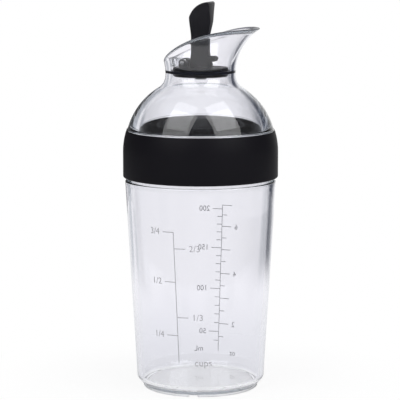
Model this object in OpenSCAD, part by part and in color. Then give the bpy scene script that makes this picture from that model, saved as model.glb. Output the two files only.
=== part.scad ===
// Shaker bottle for salad dressing: a clear measuring cup, a black screw collar that carries
// a clear dome with a flared spout, and a stopper that a thumb lever flips open.
// Z is up and the origin is on the axis at the bottom of the foot ring.
// The spout pours towards +X, and the stopper's hinge pin lies along Y at the back of the neck.
// All sizes are in millimetres and all angles in degrees.

/* [Cup] */
// Outer radius of the wall at its foot, just above the base bevel
cup_base_r = 28.2; // [26:0.1:30]
// Outer radius of the wall at the shoulder
cup_top_r = 33.3; // [31:0.1:36]
// Height of the shoulder
shoulder_z = 92.4; // [80:0.2:110]
// Radius of the shoulder's rounded edge
shoulder_round = 1.2; // [0.4:0.1:1.3]
// Thickness of the wall at its foot
cup_wall = 2.2; // [1.5:0.1:2.6]
// Depth below the shoulder at which the inside turns from sloped to straight
wall_straight = 6; // [2:0.5:12]
// Thickness of the floor
floor_t = 2.3; // [1.5:0.1:4]
// Radius of the corner between floor and wall, inside
floor_round = 2.5; // [1:0.1:4]
// How far the base bevel draws in from the wall to the foot ring
base_bevel_w = 2.8; // [1.6:0.1:4]
// Width of the foot ring
foot_w = 2; // [1.2:0.1:4]
// Depth of the recess inside the foot ring
foot_recess = 0.9; // [0.4:0.1:1.5]
// Height of the foot ring's straight outer side
foot_h = 1.1; // [0.9:0.1:1.6]
// Height of the base bevel above the foot ring
base_bevel_h = 3.1; // [2:0.1:5]
// Number of drain notches in the foot ring
notch_n = 3; // [2:1:6]
// Width of a drain notch
notch_w = 3.5; // [2:0.1:6]
// Direction of the first drain notch
notch_az = -82; // [-120:1:-60]

/* [Neck and threads] */
// Width of the shoulder that the neck stands back from the wall
shoulder_w = 1.4; // [1.3:0.05:3]
// Thickness of the neck's wall
neck_wall = 1.15; // [1:0.05:1.5]
// Height of the neck above the shoulder
neck_h = 11; // [10.5:0.1:14]
// Height of a thread's ridge
thread_h = 0.8; // [0.6:0.05:0.85]
// Width of a thread's ridge at its root
thread_w = 1.9; // [1.4:0.1:2.1]
// Width of a thread's ridge at its crest
thread_crest_w = 1; // [0.6:0.1:1.2]
// Number of thread starts
thread_starts = 2; // [1:1:3]
// Rise of a thread in one full turn
thread_lead = 8; // [7.6:0.1:9]
// Length of a thread's ridge round the neck
thread_turn = 250; // [120:10:270]
// Gap between the neck and the collar's thread crests
thread_gap = 0.25; // [0.2:0.05:0.4]

/* [Collar band] */
// Gap between the shoulder and the band
band_gap = 1.4; // [1:0.1:3]
// Height of the band
band_h = 20.4; // [19:0.2:22]
// Radius of the curve that draws the band's top in
band_crown_r = 31; // [26:0.5:34]
// Height over which the band's top draws in
band_crown_h = 9.2; // [7:0.2:10]
// Bevel at the band's lower edge
band_bevel = 0.5; // [0.2:0.1:0.8]
// Thickness of the band's wall behind the threads
band_wall = 1.25; // [1:0.05:3]
// Width of the ledge that rests on the dome's flange
ledge_w = 0.5; // [0.4:0.05:0.6]

/* [Dome and spout] */
// Distance of the dome's arc centre from the axis
dome_offset = 2.6; // [1.5:0.1:3.5]
// Height of the dome's arc centre above the cup's rim
dome_rise = 3.6; // [3:0.1:4.5]
// How far the dome's arc would stand out past its skirt
dome_swell = 0.85; // [0.6:0.05:1]
// Wall of the spout and its neck
dome_wall = 2.2; // [1.8:0.1:2.4]
// Wall of the dome where the band grips it, measured level
dome_base_wall = 4.75; // [4:0.05:5.5]
// Height above the cup's rim at which the dome is widest inside
dome_inner_rise = 7.6; // [6:0.2:9]
// Radius of the bead round the dome, just above the band
bead_r = 0.4; // [0.3:0.05:0.5]
// Outer radius of the narrowest place, under the flare
spout_neck_r = 15.4; // [15.2:0.1:17]
// Radius of the fillet between the dome and the spout's neck
spout_fillet_r = 6.5; // [4:0.1:8]
// Length of the straight neck between fillet and flare
spout_neck_h = 0.3; // [0.1:0.1:2]
// Radius of the spout's flare
flare_r = 24; // [20:0.5:30]
// Radius of the sweep that cuts the rim, seen from the side
rim_sweep_r = 62.8; // [60:0.2:66]
// Distance of the sweep's centre in front of the axis
rim_sweep_x = 23.6; // [22:0.2:26]
// Height of the rim above the spout's neck at the top of the sweep
rim_rise = 20.4; // [18:0.2:22]

/* [Lid gasket and flange] */
// Thickness of the lid gasket
lid_gasket_t = 1.2; // [0.8:0.1:1.6]
// Gap between the lid gasket and the band's bore
gasket_band_gap = 0.35; // [0.2:0.05:0.5]
// Thickness of the dome's flange
flange_t = 1.5; // [1:0.1:1.8]
// How far the flange stands out from the skirt
flange_out = 0.4; // [0.3:0.05:0.45]
// Gap on each side of the lid gasket
seal_gap = 0.2; // [0.1:0.05:0.3]
// Gap between the flange and the band's ledge
ledge_gap = 0.1; // [0.05:0.05:0.2]

/* [Stopper] */
// Gap between the stopper gasket's lip and the neck's bore
stopper_gap = 0.35; // [0.3:0.05:0.6]
// Gap between the stopper cap's edge and the neck's bore
cap_gap = 1.1; // [0.8:0.1:2]
// Thickness of the stopper cap
cap_t = 1.3; // [1:0.1:1.5]
// Radius of the rounded edge of the stopper cap
cap_round = 0.5; // [0.2:0.1:0.8]
// Height of the stopper cap's top above the narrowest place
cap_rise = 3.4; // [3.2:0.1:4]
// Thickness of the stopper gasket
gasket_t = 1.6; // [1.2:0.1:2]
// How far the gasket's upper edge draws in from its lip
gasket_taper = 0.35; // [0.2:0.05:0.6]
// Thickness of the retainer plate
retainer_t = 1.3; // [1:0.1:1.6]
// Radius of the peg under the lever
peg_r = 2.5; // [2.2:0.1:3]
// Clearance round the peg
peg_gap = 0.05; // [0.02:0.01:0.1]

/* [Retainer screw] */
// Radius of the screw's shank
screw_r = 1.2; // [1:0.1:1.5]
// Length of the shank above the head
screw_l = 4.8; // [4:0.1:5.4]
// Radius of the screw's head
screw_head_r = 2.6; // [2.2:0.1:3]
// Height of the screw's head
screw_head_h = 1.4; // [1:0.1:1.8]
// Width of the slots in the screw's head
screw_slot_w = 0.7; // [0.5:0.1:0.9]

/* [Hinge] */
// Distance of the hinge pin behind the axis
hinge_back = 6.8; // [6.6:0.1:7.2]
// Radius of the hinge pin
pin_r = 0.9; // [0.7:0.05:1]
// Radius of the knuckle on the stopper cap
knuckle_r = 2.1; // [2.1:0.1:2.4]
// Width of the knuckle
knuckle_w = 6; // [4:0.2:6.4]
// Thickness of each ear of the bracket
ear_t = 2; // [1.6:0.1:2.2]
// Gap between the knuckle and each ear
ear_gap = 0.3; // [0.3:0.05:0.5]
// How much smaller than the knuckle an ear's radius is
ear_relief = 0.3; // [0.3:0.05:0.5]
// Running clearance between the pin and the knuckle
pin_gap = 0.05; // [0.02:0.01:0.1]
// Clearance between the pin and the ears that hold it
pin_seat_gap = 0.02; // [0.01:0.01:0.05]
// How far the pin stands out of each ear
pin_out = 0.3; // [0.2:0.1:0.5]

/* [Lever] */
// Half width of the lever's waist, along X
lever_waist = 3.8; // [3.4:0.1:4]
// Height of the waist's lower end above the stopper cap
lever_waist_low = 7.6; // [6:0.2:9]
// Height of the waist's upper end above the stopper cap
lever_waist_high = 12; // [10:0.2:15]
// Distance of the lever's foot in front of the axis
lever_foot_front = 5.2; // [4.4:0.1:5.6]
// Distance of the lever's foot behind the axis
lever_foot_back = 4.5; // [4:0.1:4.6]
// Distance of the thumb pad's front edge from the axis
lever_pad_front = 5.1; // [4.4:0.1:6]
// Distance of the thumb pad's back edge from the axis
lever_pad_back = 4.45; // [4:0.05:4.6]
// Height of the thumb pad's widest place above the stopper cap
lever_pad_h = 20.8; // [18:0.2:22]
// Radius of the thumb pad's front corner
lever_nose_round = 1.3; // [0.8:0.1:2]
// Height of the lever above the stopper cap
lever_h = 28.5; // [26:0.5:30]
// Radius of the lever's sloped crown
lever_crown_r = 10.75; // [10:0.25:14]
// Distance of the crown's centre in front of the axis
lever_crown_x = 5.6; // [5:0.1:6]
// Thickness of the lever's waist, along Y
lever_t = 4; // [3:0.1:5]
// Radius of the flare that widens the lever's thumb pad
lever_flare_r = 35; // [30:1:60]
// Height at which the thumb pad starts to widen, above the stopper cap
lever_flare_z = 12.6; // [10:0.2:16]
// Radius of the toe at the lever's front
toe_r = 1.3; // [0.8:0.1:1.5]
// Distance of the toe in front of the axis
toe_x = 6.3; // [6:0.1:6.8]
// Height of the toe above the stopper cap
toe_z = 4; // [3:0.1:5]

/* [Printed scales] */
// Width of a printed line
print_w = 0.35; // [0.2:0.05:0.6]
// Thickness of the print
print_t = 0.06; // [0.05:0.01:0.1]
// Length of a main mark
mark_l = 5; // [3:0.2:6]
// Length of a fine mark
fine_mark_l = 2.6; // [1:0.2:3]
// Direction of the cup scale
cup_scale_az = -95; // [-110:1:-80]
// Height of the cup scale's zero
cup_scale_zero = 1.1; // [0:0.1:4]
// Direction of the metric scale
metric_scale_az = 86.5; // [75:0.5:100]
// Height of the metric scale's zero
metric_scale_zero = -7; // [-9:0.1:2]

/* [Hidden] */
$fn = 96;

// Colours
clear_tint = [0.88, 0.89, 0.91, 0.35];
band_black = [0.1, 0.1, 0.11];
lever_black = [0.15, 0.15, 0.17];
seal_navy = [0.1, 0.12, 0.18];
steel_grey = [0.7, 0.71, 0.73];
ink_grey = [0.45, 0.46, 0.48];

// A cut runs this far past the face that it opens
over = 1;
// Larger than any half width of the bottle
far_out = 80;

// Cup: heights and radii that follow from the sizes above
wall_z = foot_h + base_bevel_h;
foot_r = cup_base_r - base_bevel_w;
neck_r = cup_top_r - shoulder_w;
floor_z = foot_recess + floor_t;
rim_z = shoulder_z + neck_h;
mouth_r = neck_r - neck_wall;
inner_base_r = cup_base_r - cup_wall;
inner_slope_top = shoulder_z - wall_straight;
inner_slope = (mouth_r - inner_base_r) / (inner_slope_top - wall_z);
outer_slope = (cup_top_r - cup_base_r) / (shoulder_z - wall_z);

// Threads: the collar's thread lies half a pitch away from the cup's
band_bore_r = neck_r + thread_h + thread_gap;
band_r = band_bore_r + band_wall;
collar_crest_r = neck_r + thread_gap;
thread_pitch = thread_lead / thread_starts;
thread_rise = thread_lead * thread_turn / 360;
thread_z = shoulder_z + (neck_h - thread_rise) / 2;
thread_bury = 0.4;
thread_steps = 30;
thread_fade = 4;

// Lid: the gasket lies on the rim, the flange on the gasket, and the band's ledge on the flange
gasket_z = rim_z + seal_gap;
flange_z = gasket_z + lid_gasket_t + seal_gap;
ledge_z = flange_z + flange_t + ledge_gap;
band_z = shoulder_z + band_gap;
band_top_z = band_z + band_h;
lid_gasket_r = band_bore_r - gasket_band_gap;
skirt_seat = 0.1;
skirt_r = band_bore_r - ledge_w - skirt_seat;

// Dome: the fillet touches the dome's arc from outside, which sets its height
dome_z = rim_z + dome_rise;
dome_arc_r = skirt_r + dome_swell - dome_offset;
fillet_x = spout_neck_r + spout_fillet_r;
fillet_z = dome_z + sqrt(pow(dome_arc_r + spout_fillet_r, 2) - pow(fillet_x - dome_offset, 2));
flare_z = fillet_z + spout_neck_h;
flare_x = spout_neck_r + flare_r;

// Inside of the dome: an arc that touches the fillet's inside and stands upright at the thick base
hollow_z = rim_z + dome_inner_rise;
hollow_base_r = skirt_r - dome_base_wall;
hollow_reach = hollow_base_r + spout_fillet_r + dome_wall;
hollow_rise = fillet_z - hollow_z;
hollow_x = (pow(hollow_reach, 2) - pow(fillet_x, 2) - pow(hollow_rise, 2)) / (2 * (hollow_reach - fillet_x));
hollow_arc_r = hollow_base_r - hollow_x;
bead_z = band_top_z + skirt_seat + bead_r;
bead_x = dome_offset + sqrt(pow(dome_arc_r, 2) - pow(bead_z - dome_z, 2));

// Spout
spout_bore_r = spout_neck_r - dome_wall;
rim_sweep_z = flare_z + rim_rise - rim_sweep_r;
spout_top_z = flare_z + rim_rise + over;

// Stopper: the stack hangs from the cap's top face
cap_z = flare_z + cap_rise;
cap_under_z = cap_z - cap_t;
gasket_under_z = cap_under_z - gasket_t;
retainer_under_z = gasket_under_z - retainer_t;
gasket_lip_r = spout_bore_r - stopper_gap;
gasket_top_r = gasket_lip_r - gasket_taper;
cap_r = spout_bore_r - cap_gap;
peg_bore_r = peg_r + peg_gap;

// Hinge: the knuckle rests on the cap's top face
pin_z = cap_z + knuckle_r;
ear_r = knuckle_r - ear_relief;
ear_y = knuckle_w / 2 + ear_gap;
pin_half = ear_y + ear_t + pin_out;
pad_back = spout_bore_r + 3;
pad_front = hinge_back + sqrt(2) * knuckle_r + ear_gap;
bracket_seat = 0.1;

// Lever
lever_top_z = cap_z + lever_h;
crown_z = lever_top_z - lever_crown_r;
pad_z = cap_z + lever_pad_h;
waist_low_z = cap_z + lever_waist_low;
waist_high_z = cap_z + lever_waist_high;
// The front corner's circle touches the crown's from inside
nose_x = lever_pad_front - lever_nose_round;
nose_z = crown_z + sqrt(pow(lever_crown_r - lever_nose_round, 2) - pow(nose_x - lever_crown_x, 2));

// Scales: a mark's height follows from the cup's inner cone, so equal volumes lie apart as they fill it
ml_per_cup = 236.588;
ml_per_oz = 29.5735;
cup_fractions = [1/4, 1/3, 1/2, 2/3, 3/4];
cup_left_marks = [1/4, 1/2, 3/4];

// Radius of the cup's outer wall at a height
function outer_r(z) = cup_base_r + outer_slope * (z - wall_z);
// Radius of the cup's inner wall at a height
function inner_r(z) = inner_base_r + inner_slope * (z - wall_z);
// Height that a volume in millilitres reaches above a zero height
function fill_h(ml, zero) =
    (pow(3 * inner_slope * ml * 1000 / PI + pow(inner_r(zero), 3), 1/3) - inner_r(zero)) / inner_slope;
// Height of a volume's mark
function mark_z(ml, zero) = zero + fill_h(ml, zero);
// A face's corners in the other order
function turned(face) = [for (k = [len(face) - 1 : -1 : 0]) face[k]];

// One helical ridge. It grows from the wall at root_r to crest_r, and fades into the wall at its ends.
module thread_ridge(root_r, crest_r, start_z) {
    outward = crest_r > root_r;
    back_r = outward ? root_r - thread_bury : root_r + thread_bury;
    root_half = thread_w / 2;
    crest_half = thread_crest_w / 2;
    points = [
        for (i = [0 : thread_steps])
            let (
                a = thread_turn * i / thread_steps,
                z = start_z + thread_lead * a / 360,
                grow = min(1, min(i, thread_steps - i) / thread_fade),
                tip_r = root_r + (crest_r - root_r) * (0.1 + 0.9 * grow)
            )
            for (p = [[back_r, -root_half], [tip_r, -crest_half], [tip_r, crest_half], [back_r, root_half]])
                [p[0] * cos(a), p[0] * sin(a), z + p[1]]
    ];
    sides = [
        for (i = [0 : thread_steps - 1], j = [0 : 3])
            let (low = 4 * i + j, next = 4 * i + (j + 1) % 4)
            for (f = [[low, next, next + 4], [low, next + 4, low + 4]])
                f
    ];
    last = 4 * thread_steps;
    ends = [[2, 1, 0], [3, 2, 0], [last, last + 1, last + 2], [last, last + 2, last + 3]];
    faces = concat(sides, ends);
    polyhedron(points = points, faces = outward ? faces : [for (f = faces) turned(f)]);
}

// All starts of one thread
module thread(root_r, crest_r, start_z) {
    for (k = [0 : thread_starts - 1])
        rotate([0, 0, k * 360 / thread_starts])
            thread_ridge(root_r, crest_r, start_z);
}

// A cylinder along Y, centred on the XZ plane
module y_rod(x, z, r, length) {
    translate([x, length / 2, z])
        rotate([90, 0, 0])
            cylinder(r = r, h = length);
}

// A box given by its lowest and highest corners
module box(low, high) {
    translate(low)
        cube(high - low);
}

// Half section of the cup's outside, filled to the axis
module cup_outside() {
    difference() {
        polygon([
            [0, 0],
            [foot_r, 0],
            [foot_r, foot_h],
            [cup_base_r, wall_z],
            [cup_top_r, shoulder_z],
            [neck_r, shoulder_z],
            [neck_r, rim_z],
            [0, rim_z]
        ]);
        difference() {
            translate([cup_top_r - shoulder_round, shoulder_z - shoulder_round])
                square(shoulder_round + over);
            translate([cup_top_r - shoulder_round, shoulder_z - shoulder_round])
                circle(r = shoulder_round);
        }
    }
}

// Half section of the space inside the cup
module cup_inside() {
    corner_r = inner_r(floor_z + floor_round);
    difference() {
        polygon([
            [0, floor_z],
            [corner_r, floor_z],
            [corner_r, floor_z + floor_round],
            [mouth_r, inner_slope_top],
            [mouth_r, rim_z + over],
            [0, rim_z + over]
        ]);
        difference() {
            translate([corner_r - floor_round, floor_z - over])
                square([floor_round + over, floor_round + over]);
            translate([corner_r - floor_round, floor_z + floor_round])
                circle(r = floor_round);
        }
    }
}

// Clear cup with its foot ring, drain notches and threaded neck
module cup() {
    color(clear_tint) {
        difference() {
            rotate_extrude()
                difference() {
                    cup_outside();
                    cup_inside();
                    translate([0, -over])
                        square([foot_r - foot_w, foot_recess + over]);
                }
            for (k = [0 : notch_n - 1])
                rotate([0, 0, notch_az + k * 360 / notch_n])
                    box(
                        [foot_r - 2 * foot_w, -notch_w / 2, -over],
                        [foot_r + over, notch_w / 2, foot_recess]
                    );
        }
        thread(neck_r, neck_r + thread_h, thread_z);
    }
}

// A skin on the cup's outer wall, one print thick, within the marks that are given as children
module printed(az) {
    color(ink_grey)
        intersection() {
            rotate_extrude()
                polygon([
                    [outer_r(wall_z), wall_z],
                    [outer_r(wall_z) + print_t, wall_z],
                    [outer_r(shoulder_z) + print_t, shoulder_z],
                    [outer_r(shoulder_z), shoulder_z]
                ]);
            rotate([0, 0, az])
                children();
        }
}

// One mark that runs from the line to one side: side is -1 or 1
module mark(z, length, side) {
    near_y = side > 0 ? -print_w / 2 : -length;
    box(
        [inner_base_r - foot_w, near_y, z - print_w / 2],
        [far_out, near_y + length + print_w / 2, z + print_w / 2]
    );
}

// The upright line that the marks stand on
module scale_line(low_z, high_z) {
    box([inner_base_r - foot_w, -print_w / 2, low_z], [far_out, print_w / 2, high_z]);
}

// Scale in fractions of a cup, on the side towards -Y. The fractions 1/3 and 2/3 stand on the other side.
module cup_scale_print() {
    printed(cup_scale_az)
        union() {
            scale_line(mark_z(ml_per_cup / 8, cup_scale_zero), mark_z(ml_per_cup * 3/4, cup_scale_zero));
            for (part = cup_fractions)
                mark(
                    mark_z(ml_per_cup * part, cup_scale_zero),
                    mark_l,
                    len(search(part, cup_left_marks)) > 0 ? -1 : 1
                );
        }
}

// Scale in millilitres on one side of its line and in fluid ounces on the other, towards +Y
module metric_scale_print() {
    printed(metric_scale_az)
        union() {
            scale_line(mark_z(ml_per_oz, metric_scale_zero), mark_z(7 * ml_per_oz, metric_scale_zero));
            for (ml = [40 : 10 : 200])
                mark(mark_z(ml, metric_scale_zero), ml % 50 == 0 ? mark_l : fine_mark_l, 1);
            for (half_oz = [4 : 14])
                mark(
                    mark_z(ml_per_oz * half_oz / 2, metric_scale_zero),
                    half_oz % 2 == 0 ? mark_l : fine_mark_l,
                    -1
                );
        }
}

// Flat seal between the cup's rim and the dome's flange
module lid_gasket() {
    color(seal_navy)
        translate([0, 0, gasket_z])
            difference() {
                cylinder(r = lid_gasket_r, h = lid_gasket_t);
                translate([0, 0, -over])
                    cylinder(r = mouth_r, h = lid_gasket_t + 2 * over);
            }
}

// Half section of the dome, neck and flare, filled to the axis. The dome's arc has its own centre and
// radius, and the neck and flare are drawn in by a wall's thickness
module dome_section(arc_x, arc_z, arc_r, inset) {
    reach = arc_r / (arc_r + spout_fillet_r + inset);
    touch_x = arc_x + (fillet_x - arc_x) * reach;
    touch_z = arc_z + (fillet_z - arc_z) * reach;
    side_r = min(skirt_r, arc_x + arc_r);
    intersection() {
        translate([0, flange_z - inset])
            square([side_r, touch_z - flange_z + inset]);
        union() {
            translate([0, flange_z - inset])
                square([side_r, arc_z - flange_z + inset]);
            translate([arc_x, arc_z])
                circle(r = arc_r);
            square([max(arc_x, over), touch_z]);
        }
    }
    difference() {
        polygon([
            [0, touch_z - 0.01],
            [touch_x, touch_z - 0.01],
            [touch_x, touch_z],
            [fillet_x, fillet_z],
            [0, fillet_z]
        ]);
        translate([fillet_x, fillet_z])
            circle(r = spout_fillet_r + inset);
    }
    translate([0, fillet_z - 0.01])
        square([spout_neck_r - inset, spout_neck_h + 0.02]);
    difference() {
        translate([0, flare_z])
            square([flare_x - flare_r / 3, spout_top_z - flare_z]);
        translate([flare_x, flare_z])
            circle(r = flare_r + inset);
    }
}

// The space inside the dome, drawn in by a gap
module dome_inside(gap) {
    dome_section(hollow_x, hollow_z, hollow_arc_r - gap, dome_wall + gap);
}

// Everything above the spout's rim, which is cut by a wide sweep seen from the side
module above_rim() {
    difference() {
        box([-far_out, -far_out, flare_z], [far_out, far_out, spout_top_z + far_out]);
        y_rod(rim_sweep_x, rim_sweep_z, rim_sweep_r, 2 * far_out + over);
    }
}

// Clear dome with the neck that the stopper closes and the flared pouring spout
module spout_dome() {
    color(clear_tint)
        difference() {
            rotate_extrude() {
                difference() {
                    union() {
                        dome_section(dome_offset, dome_z, dome_arc_r, 0);
                        translate([skirt_r - dome_wall / 2, flange_z])
                            square([dome_wall / 2 + flange_out, flange_t]);
                        translate([bead_x, bead_z])
                            circle(r = bead_r);
                    }
                    dome_inside(0);
                }
            }
            above_rim();
        }
}

// Half section of the collar band, filled to the axis
module band_outside() {
    crown_z = band_top_z - band_crown_h;
    intersection() {
        polygon([
            [0, band_z],
            [band_r - band_bevel, band_z],
            [band_r, band_z + band_bevel],
            [band_r, band_top_z],
            [0, band_top_z]
        ]);
        union() {
            square([band_r, crown_z]);
            square([band_r - band_crown_r, band_top_z]);
            translate([band_r - band_crown_r, crown_z])
                circle(r = band_crown_r);
        }
    }
}

// Black collar: it grips the dome's flange under its ledge and screws onto the cup's neck
module collar_band() {
    color(band_black) {
        rotate_extrude()
            difference() {
                band_outside();
                translate([0, band_z - over])
                    square([band_bore_r, ledge_z - band_z + over]);
                square([skirt_r + skirt_seat, band_top_z + over]);
            }
        thread(band_bore_r, collar_crest_r, thread_z + thread_pitch / 2);
    }
}

// Clear bracket at the back of the neck, with an ear on each side of the stopper's knuckle
module hinge_bracket() {
    color(clear_tint)
        difference() {
            intersection() {
                union() {
                    box(
                        [-pad_back, -ear_y - ear_t, pin_z - ear_r],
                        [-pad_front, ear_y + ear_t, pin_z + ear_r]
                    );
                    for (side = [-1, 1])
                        translate([0, side * (ear_y + ear_t / 2), 0]) {
                            y_rod(-hinge_back, pin_z, ear_r, ear_t);
                            box(
                                [-pad_back, -ear_t / 2, pin_z - ear_r],
                                [-hinge_back, ear_t / 2, pin_z + ear_r]
                            );
                        }
                }
                rotate_extrude()
                    dome_inside(bracket_seat);
            }
            y_rod(-hinge_back, pin_z, pin_r + pin_seat_gap, 2 * pin_half + over);
        }
}

// Steel pin that the stopper swings on
module hinge_pin() {
    color(steel_grey)
        y_rod(-hinge_back, pin_z, pin_r, 2 * pin_half);
}

// Disc that closes the neck, with the hinge's knuckle on its top
module stopper_cap() {
    color(lever_black)
        difference() {
            union() {
                rotate_extrude() {
                    translate([0, cap_under_z])
                        square([cap_r - cap_round, cap_t]);
                    translate([0, cap_under_z])
                        square([cap_r, cap_t - cap_round]);
                    translate([cap_r - cap_round, cap_z - cap_round])
                        circle(r = cap_round);
                }
                y_rod(-hinge_back, pin_z, knuckle_r, knuckle_w);
                box(
                    [-hinge_back - knuckle_r, -knuckle_w / 2, cap_z - cap_round],
                    [-hinge_back + knuckle_r, knuckle_w / 2, pin_z]
                );
            }
            y_rod(-hinge_back, pin_z, pin_r + pin_gap, knuckle_w + over);
            translate([0, 0, cap_under_z - over])
                cylinder(r = peg_bore_r, h = cap_t + 2 * over);
        }
}

// Soft seal with a lip that meets the neck's bore
module stopper_gasket() {
    color(seal_navy)
        rotate_extrude()
            polygon([
                [peg_bore_r, gasket_under_z],
                [gasket_lip_r, gasket_under_z],
                [gasket_lip_r, gasket_under_z + gasket_t / 2],
                [gasket_top_r, cap_under_z],
                [peg_bore_r, cap_under_z]
            ]);
}

// Plate that clamps the gasket from below
module stopper_retainer() {
    color(lever_black)
        rotate_extrude()
            polygon([
                [screw_r + peg_gap, retainer_under_z],
                [cap_r - retainer_t / 2, retainer_under_z],
                [cap_r, retainer_under_z + retainer_t / 2],
                [cap_r, gasket_under_z],
                [screw_r + peg_gap, gasket_under_z]
            ]);
}

// Screw that holds plate, gasket, cap and lever together
module retainer_screw() {
    color(steel_grey)
        difference() {
            union() {
                translate([0, 0, retainer_under_z - screw_head_h])
                    cylinder(r = screw_head_r, h = screw_head_h);
                translate([0, 0, retainer_under_z])
                    cylinder(r = screw_r, h = screw_l);
            }
            for (a = [0, 90])
                rotate([0, 0, a])
                    box(
                        [-screw_r - screw_slot_w, -screw_slot_w / 2, retainer_under_z - screw_head_h - over],
                        [screw_r + screw_slot_w, screw_slot_w / 2, retainer_under_z - screw_head_h / 2]
                    );
        }
}

// Side view of the lever: a waisted stem under a thumb pad with a sloped crown
module lever_side() {
    difference() {
        intersection() {
            polygon([
                [-lever_foot_back, cap_z],
                [lever_foot_front, cap_z],
                [lever_waist, waist_low_z],
                [lever_waist, waist_high_z],
                [lever_pad_front, pad_z],
                [lever_pad_front, lever_top_z],
                [-lever_pad_back, lever_top_z],
                [-lever_pad_back, pad_z],
                [-lever_waist, waist_high_z],
                [-lever_waist, waist_low_z]
            ]);
            union() {
                translate([-far_out, 0])
                    square([2 * far_out, crown_z]);
                translate([lever_crown_x, crown_z])
                    circle(r = lever_crown_r);
            }
        }
        difference() {
            translate([nose_x, nose_z])
                square(2 * lever_nose_round + over);
            translate([nose_x, nose_z])
                circle(r = lever_nose_round);
        }
    }
}

// Front view of the lever: it widens towards the thumb pad on both sides
module lever_front() {
    flare_start = cap_z + lever_flare_z;
    difference() {
        translate([-lever_flare_r, cap_z])
            square([2 * lever_flare_r, lever_h]);
        for (side = [-1, 1]) {
            translate([side * (lever_t / 2 + lever_flare_r), flare_start])
                circle(r = lever_flare_r);
            translate([side * (lever_t / 2 + lever_flare_r) - lever_flare_r, cap_z - over])
                square([2 * lever_flare_r, lever_flare_z + over]);
        }
    }
}

// Black thumb lever with the toe at its front and the peg that goes through the cap
module lever() {
    color(lever_black)
        difference() {
            union() {
                intersection() {
                    translate([0, far_out / 2, 0])
                        rotate([90, 0, 0])
                            linear_extrude(height = far_out)
                                lever_side();
                    translate([-far_out / 2, 0, 0])
                        rotate([90, 0, 90])
                            linear_extrude(height = far_out)
                                lever_front();
                }
                y_rod(toe_x, cap_z + toe_z, toe_r, lever_t);
                box([0, -lever_t / 2, cap_z + toe_z - toe_r], [toe_x, lever_t / 2, cap_z + toe_z + toe_r]);
                translate([0, 0, gasket_under_z])
                    cylinder(r = peg_r, h = cap_z - gasket_under_z + over);
            }
            translate([0, 0, gasket_under_z - over])
                cylinder(r = screw_r + peg_gap, h = screw_l - retainer_t + 2 * over);
        }
}

cup();
cup_scale_print();
metric_scale_print();
lid_gasket();
spout_dome();
collar_band();
hinge_bracket();
hinge_pin();
stopper_cap();
stopper_gasket();
stopper_retainer();
retainer_screw();
lever();
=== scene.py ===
# %% [markdown]
# A salad dressing shaker: a clear tapered cup, a black screw collar, and a clear dome with a pouring
# spout that a flip stopper closes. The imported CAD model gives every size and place. Here each piece
# gets the surface that a camera sees: smooth turned walls for the clear plastic, which bends light and
# would show every facet, rounded edges on the black pieces, and ink that wraps round the cup.
# All lengths are in metres, so sizes that are easier to read in millimetres are multiplied by MM.

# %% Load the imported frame
import math

import bmesh
import bpy
from mathutils import Matrix, Vector


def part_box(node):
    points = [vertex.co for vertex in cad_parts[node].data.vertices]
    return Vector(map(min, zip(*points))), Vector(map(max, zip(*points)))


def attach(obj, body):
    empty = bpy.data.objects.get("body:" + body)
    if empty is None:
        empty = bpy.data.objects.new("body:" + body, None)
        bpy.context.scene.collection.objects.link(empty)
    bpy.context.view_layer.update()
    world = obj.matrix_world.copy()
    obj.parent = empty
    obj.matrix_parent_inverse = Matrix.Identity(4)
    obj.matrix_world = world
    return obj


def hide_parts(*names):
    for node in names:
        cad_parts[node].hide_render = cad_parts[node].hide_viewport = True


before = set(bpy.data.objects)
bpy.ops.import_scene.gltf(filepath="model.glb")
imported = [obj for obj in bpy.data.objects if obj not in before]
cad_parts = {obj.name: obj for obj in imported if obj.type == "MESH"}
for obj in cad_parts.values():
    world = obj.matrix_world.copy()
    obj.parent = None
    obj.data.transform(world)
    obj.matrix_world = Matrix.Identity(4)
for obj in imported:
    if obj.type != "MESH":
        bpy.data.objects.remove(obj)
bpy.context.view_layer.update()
MM = 0.001
print("CAD nodes:", ", ".join(sorted(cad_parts)))

# %% [markdown]
# The camera stands where the photographer stood. The rims of band, cup and foot look like ellipses, and
# how flat each one is gives the height of the eye; the way they open towards the bottom gives the
# distance. The spout points right and a little towards the viewer, which fixes the way round. Light
# runs to and fro inside thick clear plastic, so it is followed over more bounces than usual.

# %% Camera
VIEW_TURN = math.radians(15)      # the camera stands this far round from straight in front
VIEW_DROP = math.radians(8.2)     # and looks down by this much
CAMERA_AWAY = 0.861               # from the point on the axis that it looks at
VIEW_SHIFT = -0.0014              # the bottle stands this share of the picture right of its middle
LOOK_AT = Vector((0, 0, 0.08324))
FOCAL_LENGTH = 175                # millimetres, on a sensor 36 mm wide

towards_camera = Vector((
    math.sin(VIEW_TURN) * math.cos(VIEW_DROP),
    -math.cos(VIEW_TURN) * math.cos(VIEW_DROP),
    math.sin(VIEW_DROP),
))
camera = bpy.data.objects.new("camera", bpy.data.cameras.new("camera"))
bpy.context.scene.collection.objects.link(camera)
camera.location = LOOK_AT + towards_camera * CAMERA_AWAY
camera.rotation_euler = (-towards_camera).to_track_quat("-Z", "Y").to_euler()
camera.data.sensor_width = 36
camera.data.lens = FOCAL_LENGTH
camera.data.clip_start = 0.05
camera.data.shift_x = VIEW_SHIFT
bpy.context.scene.camera = camera
bpy.context.scene.view_settings.view_transform = "Standard"
light_paths = bpy.context.scene.cycles
light_paths.max_bounces, light_paths.glossy_bounces, light_paths.transmission_bounces = 32, 16, 24
print("camera at", [round(v, 3) for v in camera.location])

# %% [markdown]
# Blender materials are graphs of nodes. Writing them node by node hides the idea, so a small class lets
# a formula be written as a formula: a Wire is one output socket, and adding or multiplying wires adds
# the Math nodes that do it. Everything that isn't a sum goes through one method, Finish.node.

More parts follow.
